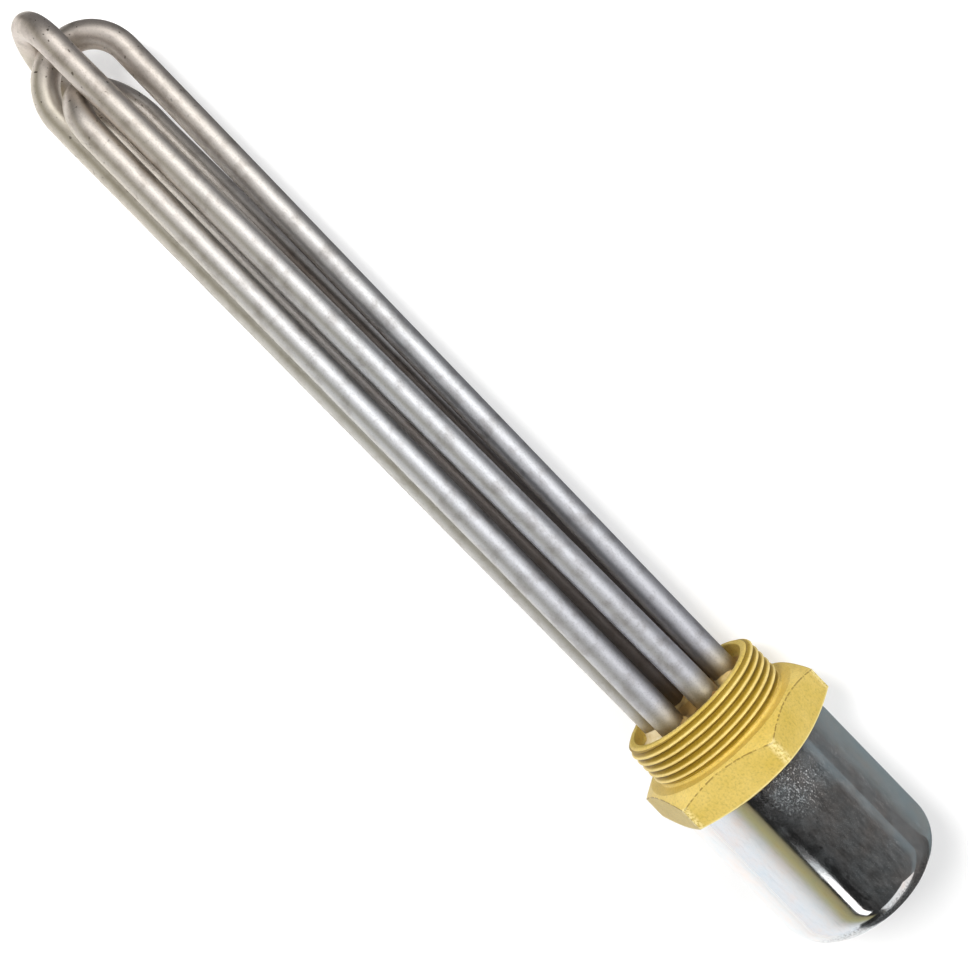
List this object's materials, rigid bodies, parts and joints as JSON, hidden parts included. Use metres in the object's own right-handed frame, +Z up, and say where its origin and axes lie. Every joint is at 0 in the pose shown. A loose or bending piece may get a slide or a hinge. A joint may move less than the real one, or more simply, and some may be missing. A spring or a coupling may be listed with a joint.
{
  "type": "screw plug immersion heater",
  "caption": "Electric immersion heater: nested U-bent metal tubes brazed into a hexagonal brass pipe-thread plug, with a terminal chamber behind it under a round metal cap.",
  "frame": {"origin": "on the heater's axis, in the plug's sealing face (the front face of the hexagon, towards the tubes)", "axes": "+X along the heater's axis towards the tips of the tubes, +Z up with a flat of the hexagon facing down, +Y across two corners of the hexagon"},
  "size_m": [0.3605, 0.0636, 0.055],
  "materials": {
    "plug_brass": "sandblasted",
    "braze_metal": "as flowed, with flux stains",
    "tube_steel": "drawn and annealed, mottled",
    "magnesia": "pressed powder",
    "coil_on_core": "dull",
    "terminal_steel": "bright turned",
    "bead_ceramic": "matt",
    "seal_compound": "cast, satin",
    "zinc_plate": "blue zinc plate",
    "link_brass": "stamped sheet, bright",
    "cap_plating": "bright plated, polished, light stains",
    "grommet_rubber": "matt"
  },
  "bodies": {
    "heater": {"screw_plug": "plug_brass", "braze_fillets": "braze_metal", "sheath_long": "tube_steel", "sheath_middle": "tube_steel", "sheath_short": "tube_steel", "magnesia_long": "magnesia", "magnesia_middle": "magnesia", "magnesia_short": "magnesia", "heating_coil_long": "coil_on_core", "heating_coil_middle": "coil_on_core", "heating_coil_short": "coil_on_core", "terminal_pin_1": "terminal_steel", "terminal_pin_2": "terminal_steel", "terminal_pin_3": "terminal_steel", "terminal_pin_4": "terminal_steel", "terminal_pin_5": "terminal_steel", "terminal_pin_6": "terminal_steel", "insulating_bead_1": "bead_ceramic", "insulating_bead_2": "bead_ceramic", "insulating_bead_3": "bead_ceramic", "insulating_bead_4": "bead_ceramic", "insulating_bead_5": "bead_ceramic", "insulating_bead_6": "bead_ceramic", "poured_seal": "seal_compound", "terminal_seat_nuts": "zinc_plate", "terminal_washers": "zinc_plate", "terminal_nuts": "zinc_plate", "link_strap_lower": "link_brass", "link_strap_upper": "link_brass", "centre_stud": "terminal_steel"},
    "cap": {"terminal_cap": "cap_plating", "cap_washer": "zinc_plate", "cap_nut": "zinc_plate", "cable_grommet": "grommet_rubber"}
  },
  "joints": [
    {"name": "cap_slide", "type": "slide", "parent": "heater", "child": "cap", "axis": [-1, 0, 0], "range_m": [0, 0.065]}
  ]
}
